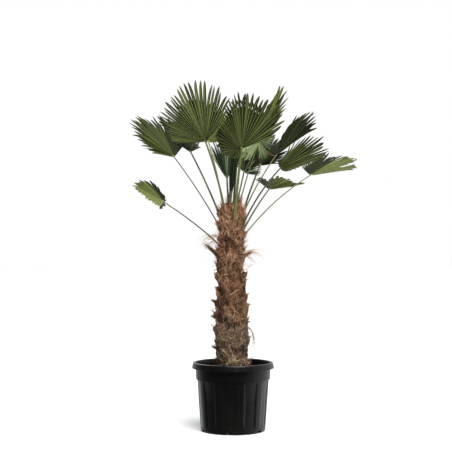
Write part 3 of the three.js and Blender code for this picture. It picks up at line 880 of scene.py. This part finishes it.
def sheath(made, chance, leaf):
    """Reddish fibre that clings to a stalk's base."""
    s = np.linspace(0, 1, 9)[None]
    line, tangent = stalk_line(leaf, 200)
    far = np.concatenate([[0], np.cumsum(np.linalg.norm(np.diff(line, axis=0), axis=1))])
    highest = 12 + 48 * float(smooth(leaf.root[1], 1080, 1200))
    length = chance.uniform(0, highest, (SHEATH_HAIRS, 1)) + SHEATH_DEPTH
    along = far[exit_step(line)] - SHEATH_DEPTH * MM + s * length * MM
    place, side, above = (np.stack([np.interp(along, far, part) for part in values.T], axis=-1)
                          for values in (line, *frame_round(tangent)))
    spin = chance.uniform(0, math.tau, (SHEATH_HAIRS, 1, 1))
    stray = 1 + 0.5 * chance.normal(0, 1, (SHEATH_HAIRS, 1, 1)) * s[..., None] ** 2
    off = chance.uniform(8, 15, (SHEATH_HAIRS, 1, 1)) * MM * stray
    paths = place + off * (np.cos(spin) * side + 0.8 * np.sin(spin) * above)
    facing = side * np.cos(spin) + above * np.sin(spin)
    width = chance.uniform(0.6, 1.5, (SHEATH_HAIRS, 1)) * MM * (1 - 0.75 * s ** 2)
    ribbons(made, chance, paths, width, facing, chance.choice(SHEATH_TONES, SHEATH_HAIRS))


def sheaths(made, chance):
    """The fibre round each stalk's base, and ragged points between the stalks."""
    for leaf in FRONDS:
        sheath(made, chance, leaf)
    for _ in range(RAGGED_POINTS):
        theta = chance.uniform(0, math.tau)
        z = chance.uniform(1165, 1240) * MM
        start, way = sprout(chance, theta, z, 6 * MM, (66, 86))
        length = chance.uniform(34, 62)
        bundle(made, chance, start, way, length, 9, 2, 13, (0.4, 0.9), SHEATH_TONES, wild=0.1)


# ---- old leaf bases

BASE_TONES = fibre_slot("brown_dark", "grey_dark", "brown", "red_dark", "brown_dark")


def stub_axis(around, height, reach, rise):
    start = np.array([TRUNK_AXIS_X, 0, height]) * MM
    return start, direction(around, rise), reach * MM


def stub_hairs(made, chance):
    """Dark hair gathered round the old leaf bases and frayed past their ends."""
    for _, around, height, reach, rise in LEAF_BASES:
        start, way, length = stub_axis(around, height, reach, rise)
        root = start + way * length * 0.42
        bundle(made, chance, root, way, reach * 0.56, 26, 7, 150, (0.5, 1.1), BASE_TONES, wild=0.07)
        root = start + way * length * 0.7
        bundle(made, chance, root, way, reach * 0.45, 10, 16, 26, (0.25, 0.5), BASE_TONES, 0.25, 0.25)


def boot_hairs(made, chance):
    """Ragged tufts on the lips of the other old leaf bases."""
    for angle, height, reach in zip(boot_angle, boot_height, boot_reach):
        for side in (-0.22, 0, 0.22):
            z = height + BOOT_HALF_HEIGHT * (0.8 - abs(side))
            start, way = sprout(chance, angle + side, z, 3 * MM, (35, 72))
            tones = fibre_slots(np.full(6, z), chance)
            length = chance.uniform(22, 54)
            bundle(made, chance, start, way, length, 10, 4, 15, (0.35, 1.0), tones, wild=0.2)


def tongue(made, chance, start, way, length, half_width, half_thick):
    """One dry, torn stub of an old stalk: flat, grooved and narrowing to a ragged end."""
    steps, sides = 14, 16
    turn = turns(sides)
    s = np.linspace(0, 1, steps)
    across, up = frame_round(way)
    ragged = chance.uniform(-7, 2, sides) * MM
    grooves = 1 + 0.12 * np.cos(turn * 6) + chance.normal(0, 0.05, (steps, sides))
    along = s[:, None] * length + ragged[None] * smooth(s, 0.7, 1.0)[:, None]
    wide = half_width * (1 - 0.55 * s)[:, None] * grooves
    thick = half_thick * (1 - 0.4 * s)[:, None] * grooves
    bend = chance.normal(0, 0.08) * s * s * length
    points = (start + along[..., None] * way + (np.cos(turn) * wide + bend[:, None])[..., None] * across
              + (np.sin(turn) * thick)[..., None] * up)
    made.grid(points, 0, wrap=True)
    end = points[-1]
    middle = end.mean(axis=0)
    cut = np.stack([end, (end + middle) / 2 - way * 3 * MM, middle - way * 5 * MM + 0 * end])
    made.grid(cut, 1, wrap=True)


def leaf_bases():
    """The stubs named in the CAD model, and a small one under each other tuft."""
    chance = np.random.default_rng(5)
    made = Sheet()
    for name, around, height, reach, rise in LEAF_BASES:
        start, way, length = stub_axis(around, height, reach, rise)
        tongue(made, chance, start + way * length * 0.35, way, length * 0.5, 15 * MM, 6.5 * MM)
    for angle, height, reach in zip(boot_angle, boot_height, boot_reach):
        start, way = sprout(chance, angle, height, 16 * MM, (58, 74))
        tongue(made, chance, start, way, chance.uniform(26, 44) * MM, 13 * MM, 4 * MM)
    nodes = [f"leaf_base_{name}" for name, *_ in LEAF_BASES]
    made.build("old_leaf_bases", [STUB_MATERIAL, STUB_CUT], nodes, sharp=50)


# Strands that stand out from the trunk's front and sides: three places as (sideways, towards the back,
# height), the number of hairs, and how far they spread
STRAY_LOCKS = [
    ((-62, -62, 1192), (-40, -86, 1140), (2, -80, 1072), 5, 2.5),
    ((-38, -84, 925), (-48, -88, 880), (-34, -82, 838), 5, 2.5),
    ((-74, -60, 462), (-40, -96, 448), (-20, -92, 420), 8, 4),
    ((80, -20, 578), (132, -30, 545), (104, -24, 440), 22, 6),
    ((84, -20, 700), (104, -24, 704), (126, -26, 694), 8, 3),
    ((60, -50, 890), (84, -40, 905), (102, -30, 925), 7, 3),
    ((70, -30, 985), (110, -30, 1010), (158, -34, 980), 22, 9),
    ((72, -30, 975), (104, -34, 972), (120, -34, 925), 14, 9),
    ((-90, -20, 1082), (-130, -24, 1092), (-172, -28, 1070), 20, 9),
    ((-84, -24, 1050), (-118, -30, 1062), (-150, -30, 1022), 18, 10),
    ((-86, -20, 905), (-120, -24, 880), (-112, -20, 915), 9, 3),
    ((-88, -24, 680), (-118, -28, 676), (-138, -28, 690), 12, 7),
    ((-90, -24, 585), (-122, -28, 588), (-146, -28, 602), 12, 7),
]


def stray_locks(made, chance):
    """Hairs that bend from one place to another, each set spread about one curve."""
    s = np.linspace(0, 1, 12)[None, :, None]
    for start, middle, end, count, spread in STRAY_LOCKS:
        start, middle, end = (np.array(p) * MM + chance.normal(0, k * spread * MM, (count, 1, 3))
                              for p, k in ((start, 0.7), (middle, 1.2), (end, 2)))
        paths = bent(start, middle, end, s)
        facing = np.broadcast_to(np.array([0.2, -1.0, 0.2]), paths.shape)
        width = chance.uniform(0.4, 0.8, (count, 1)) * MM * (1 - 0.7 * s[..., 0] ** 2)
        tones = fibre_slot("brown", "grey", "brown_light", "grey_light")
        ribbons(made, chance, paths, width, facing, chance.choice(tones, count))


LONE_TUFTS = 680
PALE_BAND = (462, 568)  # heights of the band of pale fibre low on the trunk
FOOT_BAND = (COAT_FOOT, 400)


def fibre():
    """The trunk's coat: a criss-cross mat, locks, sheaths, the old leaf bases' hair and lone tufts."""
    chance = np.random.default_rng(41)
    mat = Sheet()
    mat_strands(mat, chance, 4800, (25, 90), 62, (0.3, 0.75), (0.5, 4))
    mat_strands(mat, chance, 5000, (35, 120), 22, (0.3, 0.75), (0.5, 5))
    mat_strands(mat, chance, 1000, (25, 60), 50, (0.3, 0.7), (2, 8), PALE_BAND,
                fibre_slot("pale_mat", "pale_mat", "grey_light", "grey", "grey_dark"))
    mat_strands(mat, chance, 260, (20, 60), 20, (0.4, 0.9), (1, 6), FOOT_BAND, fibre_slot("olive", "straw"))
    mat.build("fibre_mat", FIBRE)
    locks = Sheet()
    tufts(locks, chance, 640, 12)
    stray_locks(locks, chance)
    locks.build("fibre_locks", FIBRE)
    hairs = Sheet()
    sheaths(hairs, chance)
    stub_hairs(hairs, chance)
    boot_hairs(hairs, chance)
    for _ in range(LONE_TUFTS):
        theta = chance.uniform(0, math.tau)
        z = chance.uniform(370, 1240) * MM
        start, way = sprout(chance, theta, z, 0, (-25, 60))
        tones = fibre_slots(np.array([z]), chance)
        length = chance.uniform(16, 58)
        bundle(hairs, chance, start, way, length, 3, 6, 3, (0.2, 0.42), tones, 0.5, 0.35)
    hairs.build("fibre_hairs", FIBRE)


# ---- pot and soil

COLLAR_FOOT = POT_HEIGHT - COLLAR_DROP
LIP_FOOT = POT_HEIGHT - LIP_DROP
RIM = POT_HEIGHT - POT_WALL  # the lip's underside, where it turns out from the collar
INNER_FLOOR = POT_FLOOR + 10
MIDDLE = 0.1  # the radius at which the underside and the inner floor close
PAN_HEIGHT = 2.2  # how far the middle of the underside stands off the ground
PANEL_HALF = math.radians(10.5)  # half the width of a recessed panel
PANEL_SIDE = math.radians(6.0)  # width of the slope at a panel's side
PANEL_FOOT, PANEL_FULL = 12, 56  # the heights at which a panel begins and is at its full depth
PANEL_TOP = COLLAR_FOOT - 5
DRAIN_INNER = 148  # how far in from the wall the drain openings reach, as a radius


def wall_radius(z):
    """Radius in mm of the plain outer wall below the collar, at a height in mm."""
    return FOOT_RADIUS + (WALL_TOP_RADIUS - FOOT_RADIUS) * z / COLLAR_FOOT


def collar_radius(z):
    return COLLAR_FOOT_RADIUS + (COLLAR_RADIUS - COLLAR_FOOT_RADIUS) * (z - COLLAR_FOOT) / COLLAR_DROP


def arc(centre_radius, centre_z, size, first, last, steps):
    """Points of a round edge in mm, between angles in degrees up from level, none in a recess."""
    return [(centre_radius + size * math.cos(a), centre_z + size * math.sin(a), 0)
            for a in np.radians(np.linspace(first, last, steps))]


def pot_section():
    """The pot's section in mm: from the middle of its underside, up the outside and down the inside.

    Each point has a radius, a height, and the share of a panel's depth that it lies in where there is one.
    """
    return [
        *((radius, PAN_HEIGHT, 0) for radius in (MIDDLE, 50, 110, DRAIN_INNER, DRAIN_INNER + 2)),
        (FOOT_RADIUS - FOOT_CORNER - 5, 0, 0),
        *arc(wall_radius(FOOT_CORNER) - FOOT_CORNER, FOOT_CORNER, FOOT_CORNER, -90, 0, 7),
        *((wall_radius(z), z, smooth(z, PANEL_FOOT, PANEL_FULL)) for z in np.linspace(PANEL_FOOT, 60, 16)),
        *((wall_radius(z), z, 1) for z in np.linspace(72, PANEL_TOP - 9, 12)),
        *((wall_radius(z), z, 1 - smooth(z, PANEL_TOP - 6, PANEL_TOP))
          for z in np.linspace(PANEL_TOP - 6, PANEL_TOP + 1, 8)),
        *arc(COLLAR_FOOT_RADIUS - 2, COLLAR_FOOT, 2, -90, 0, 4),
        *((collar_radius(z), z, 0) for z in np.linspace(COLLAR_FOOT + 8, LIP_FOOT + 4, 8)),
        (COLLAR_RADIUS + 1, RIM - 3, 0),
        (COLLAR_RADIUS + 4, RIM, 0),
        (LIP_RADIUS - 12, RIM - 0.5, 0),
        (LIP_RADIUS - 9, RIM - 4, 0),
        (LIP_RADIUS - 3.6, LIP_FOOT + 1.5, 0),
        *arc(LIP_RADIUS - 1.6, LIP_FOOT + 1.6, 1.6, -150, 0, 6),
        *((LIP_RADIUS - 5.5 * (z - LIP_FOOT) / LIP_DROP, z, 0)
          for z in np.linspace(LIP_FOOT + 6, POT_HEIGHT - 9, 6)),
        *arc(LIP_RADIUS - 11.5, POT_HEIGHT - 6.5, 6.5, 8, 90, 8),
        *arc(COLLAR_RADIUS + 3.5, POT_HEIGHT - 5, 5, 90, 180, 7),
        *((COLLAR_RADIUS - 2.5 - (POT_HEIGHT - z) * 0.04, z, 0)
          for z in (POT_HEIGHT - 12, POT_HEIGHT - 24, SOIL_EDGE, COLLAR_FOOT + 4)),
        (WALL_TOP_RADIUS - POT_WALL, COLLAR_FOOT - 4, 0),
        (wall_radius(40) - POT_WALL - FLUTE_DEPTH, 40, 0),
        (DRAIN_INNER - 2, INNER_FLOOR, 0),
        (MIDDLE, INNER_FLOOR, 0),
    ]


def pot():
    """The moulded pot: turned-down lip, collar, recessed panels between ribs, drain openings at the foot."""
    phi = turns(720)  # from -Y towards +X

    def off_nearest(repeats):
        """How far each direction is from the nearest of some equal steps round."""
        pitch = math.tau / repeats
        return np.abs((phi - math.radians(FLUTE_TURN) + pitch / 2) % pitch - pitch / 2)

    panel = 1 - smooth(off_nearest(FLUTES), PANEL_HALF - PANEL_SIDE / 2, PANEL_HALF + PANEL_SIDE / 2)
    drain = 1 - smooth(off_nearest(DRAINS) * FOOT_RADIUS, 0.4 * DRAIN_WIDTH, 0.5 * DRAIN_WIDTH)
    radius, height, recess = np.transpose(pot_section())[..., None]
    reach = (radius - recess * FLUTE_DEPTH * panel) * MM
    opening = drain * (DRAIN_INNER < radius) * (height < DRAIN_HEIGHT)
    level = (height + (DRAIN_HEIGHT - height) * opening) * MM
    made = Sheet()
    made.grid(np.stack([reach * np.sin(phi), -reach * np.cos(phi), level], axis=-1), wrap=True)
    made.build("pot_shell", [PLASTIC], ["pot"], sharp=42)


SOIL_RIPPLES = 46
MOUND_FROM, MOUND_TO = 0.12, 0.2  # metres from the middle between which the mix falls away
MIX_BITS = 1100
BITS_FROM, BITS_TO = 0.0081, 0.0405  # squares of the metres from the middle between which the bits lie


def soil():
    """Potting mix with fibre and bark bits, mounded a little round the trunk."""
    chance = np.random.default_rng(9)
    around, rings = 240, 44
    theta = turns(around)[None]
    radius = np.linspace(70, COLLAR_FOOT_RADIUS - 1.5, rings)[:, None] * MM
    drop = (SOIL_TOP - SOIL_EDGE) * MM * smooth(radius, MOUND_FROM, MOUND_TO)
    height = SOIL_TOP * MM - drop + 8 * MM * (1 - smooth(radius, 0.1, 0.13))
    x, y = radius * np.cos(theta), radius * np.sin(theta)
    for _ in range(SOIL_RIPPLES):
        kx, ky, phase = chance.normal(0, 130), chance.normal(0, 130), chance.uniform(0, math.tau)
        height = height + chance.uniform(0.1, 0.6) * MM * np.sin(kx * x + ky * y + phase)
    surface = np.stack([x, y, height + 0 * x], axis=-1)
    edge = surface[-1] * [1, 1, 0]
    below = np.stack([surface[-1], edge * 0.96 + [0, 0, 0.3], edge * 0.9 + [0, 0, 0.26],
                      edge * 0.72 + [0, 0, 0.02], edge * 0.01 + [0, 0, 0.02]])
    made = Sheet()
    made.grid(surface[::-1], 0, wrap=True)
    made.grid(below[::-1], 0, wrap=True)

    # bark and peat bits: small bent lozenges scattered over the mix
    spot = np.sqrt(chance.uniform(BITS_FROM, BITS_TO, MIX_BITS))
    way = chance.uniform(0, math.tau, MIX_BITS)
    level = (SOIL_TOP - 2) * MM - (SOIL_TOP - SOIL_EDGE) * MM * smooth(spot, MOUND_FROM, MOUND_TO)
    centre = np.stack([spot * np.cos(way), spot * np.sin(way), level], axis=-1)[:, None, None]
    size = chance.uniform(2, 7, MIX_BITS)[:, None, None, None] * MM
    along = unit(chance.normal(0, 1, (MIX_BITS, 3)) * [1, 1, 0.35])
    beside = unit(np.cross(along, chance.normal(0, 0.4, (MIX_BITS, 3)) + [0, 0, 1]))
    normal = np.cross(along, beside)
    s = np.linspace(-1, 1, 4)[None, :, None, None]
    wide = np.array([0.15, 0.5, 0.42, 0.1])[None, :, None, None]
    turn = turns(6)[None, None, :, None]
    round_it = np.cos(turn) * beside[:, None, None] + 0.5 * np.sin(turn) * normal[:, None, None]
    bits = centre + (s * along[:, None, None] + wide * round_it) * size
    made.grids(bits, chance.integers(0, 2, MIX_BITS)[:, None, None], wrap=True)
    made.build("potting_mix", [SOIL_MATERIAL, BARK_BIT], ["root_ball"])


# ---- stage, light and camera

CAMERA_DISTANCE = 6.0  # metres
CAMERA_HEIGHT = 1.0
VIEW_WIDTH = 2.536  # metres across the picture, at the trunk
IMAGE_PIXELS = 452
POT_COLUMN = 233  # the picture's column over the middle of the pot
LEVEL_ROW = 251  # the picture's row that is level with the camera
AIM_X = (IMAGE_PIXELS / 2 - POT_COLUMN) * VIEW_WIDTH / IMAGE_PIXELS
AIM_Z = CAMERA_HEIGHT + (LEVEL_ROW - IMAGE_PIXELS / 2) * VIEW_WIDTH / IMAGE_PIXELS
SENSOR = 36  # mm
FLOOR_RADIUS = 60  # metres, so that its edge is out of every view
STUDIO_TURN = math.radians(28)  # how far the studio's brightest side lies to the right of straight behind
STUDIO_LIGHT = (0.06, 0.95)  # its strength in front and behind
# Each sun's strength, and the way to it
SUNS = {"key": (4.7, (1.2, -3.0, 4.4)), "back": (0.8, (-2.0, 3.5, 3.5))}
SUN_SPREAD = math.radians(40)


def stage():
    """A pale floor and background, studio light that is strongest behind, two soft suns and the camera."""
    made, tree, shader = principled("floor", (0.86, 0.86, 0.86, 1), 0.9, 0.0)
    bump(tree, shader, noise(tree, object_place(tree), (3, 3, 3)), 0.1 * MM, 0.1)
    bpy.ops.mesh.primitive_circle_add(
        vertices=96, radius=FLOOR_RADIUS, fill_type="NGON", location=(0, 0, -0.5 * MM))
    floor = bpy.context.object
    floor.name = "floor"
    floor.data.materials.append(made)
    floor.visible_glossy = False  # the pot mirrors the dark side of the studio, not the bright floor

    world = bpy.data.worlds.new("studio")
    bpy.context.scene.world = world
    world.use_nodes = True
    tree = world.node_tree
    place = add(tree, "TexCoord").outputs["Generated"]
    turned = add(tree, "Mapping", {"Vector": place, "Rotation": (0, 0, STUDIO_TURN)}).outputs["Vector"]
    behind = add(tree, "SeparateXYZ", {"Vector": turned}).outputs["Y"]
    strength = rescaled(tree, behind, *STUDIO_LIGHT, -0.5, 0.8, interpolation_type="SMOOTHSTEP")
    light = feed(tree, tree.nodes["Background"], {"Color": (0.96, 0.98, 1.0, 1), "Strength": strength})
    backdrop = add(tree, "Background", {"Color": (1, 1, 1, 1)})
    seen = add(tree, "LightPath").outputs["Is Camera Ray"]
    mix = add(tree, "MixShader", {0: seen, 1: light.outputs[0], 2: backdrop.outputs[0]})
    feed(tree, tree.nodes["World Output"], {"Surface": mix.outputs[0]})

    for name, (power, towards) in SUNS.items():
        lamp = bpy.data.lights.new(name, "SUN")
        lamp.energy = power
        lamp.angle = SUN_SPREAD
        made = bpy.data.objects.new(name, lamp)
        made.rotation_euler = Vector(towards).to_track_quat("Z", "Y").to_euler()
        bpy.context.scene.collection.objects.link(made)

    lens = bpy.data.cameras.new("camera")
    lens.sensor_width = SENSOR
    lens.lens = SENSOR * CAMERA_DISTANCE / VIEW_WIDTH
    camera = bpy.data.objects.new("camera", lens)
    camera.location = (0, -CAMERA_DISTANCE, CAMERA_HEIGHT)
    aim = Vector((AIM_X, 0, AIM_Z)) - camera.location
    camera.rotation_euler = aim.to_track_quat("-Z", "Y").to_euler()
    bpy.context.scene.collection.objects.link(camera)
    bpy.context.scene.camera = camera
    bpy.context.scene.view_settings.view_transform = "Standard"


# ---- the palm

stage()
pot()
soil()
trunk()
leaf_bases()
fibre()
for leaf in FRONDS:
    stalk(leaf)
    blade(leaf)
spear()
